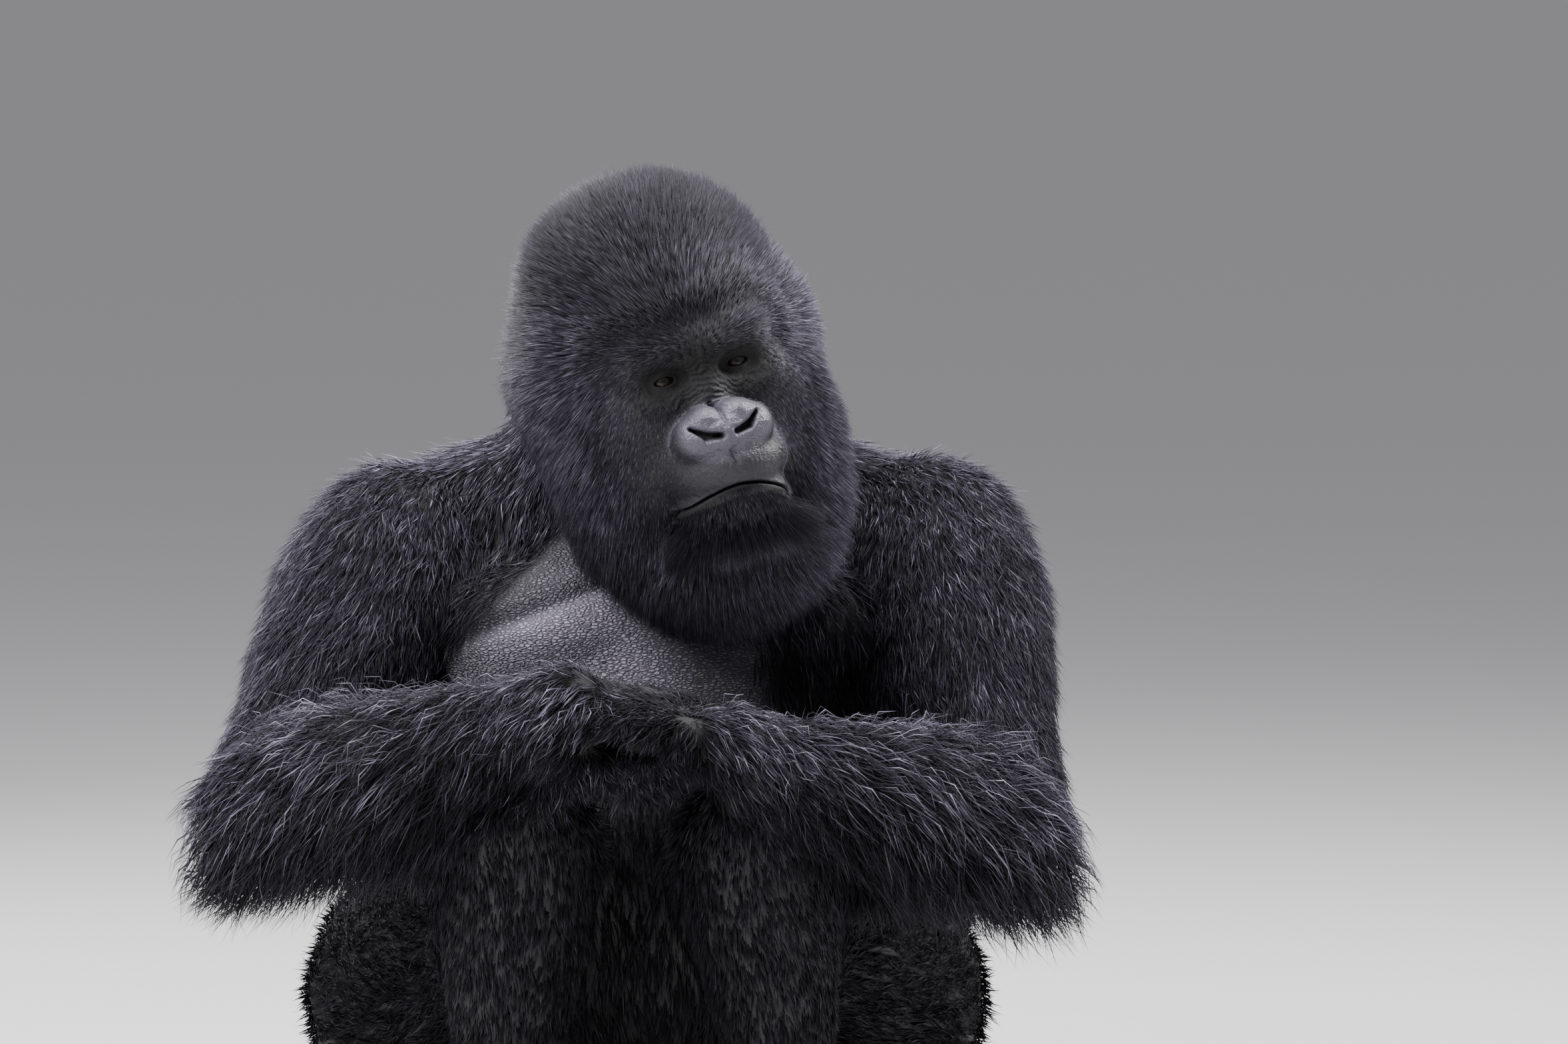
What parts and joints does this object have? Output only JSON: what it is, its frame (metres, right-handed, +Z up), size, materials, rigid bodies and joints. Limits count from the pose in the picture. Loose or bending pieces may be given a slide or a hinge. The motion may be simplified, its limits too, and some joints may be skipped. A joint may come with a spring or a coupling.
{
  "type": "gorilla",
  "caption": "Seated adult male mountain gorilla, a still life-size model with its arms folded on its raised knees and its head tilted.",
  "frame": {"origin": "middle of the box round the whole animal, at floor level", "axes": "+Z up; the animal faces -Y; its own left side is towards +X"},
  "size_m": [0.8886, 0.7894, 1.0017],
  "materials": {
    "coat": "long black hair, matte with grey tips",
    "silver_saddle": "short silver-grey hair, matte",
    "bare_skin": "black, finely wrinkled, satin",
    "eye": "dark brown, wet gloss"
  },
  "bodies": {
    "root": {"head": "coat", "eye_right": "eye", "eye_left": "eye", "ear_right": "bare_skin", "ear_left": "bare_skin", "neck": "coat", "chest": "coat", "abdomen": "silver_saddle", "upper_arm_right": "coat", "forearm_right": "coat", "hand_right": "bare_skin", "thigh_right": "coat", "shin_right": "coat", "foot_right": "bare_skin", "upper_arm_left": "coat", "forearm_left": "coat", "hand_left": "bare_skin", "thigh_left": "coat", "shin_left": "coat", "foot_left": "bare_skin"}
  },
  "joints": []
}
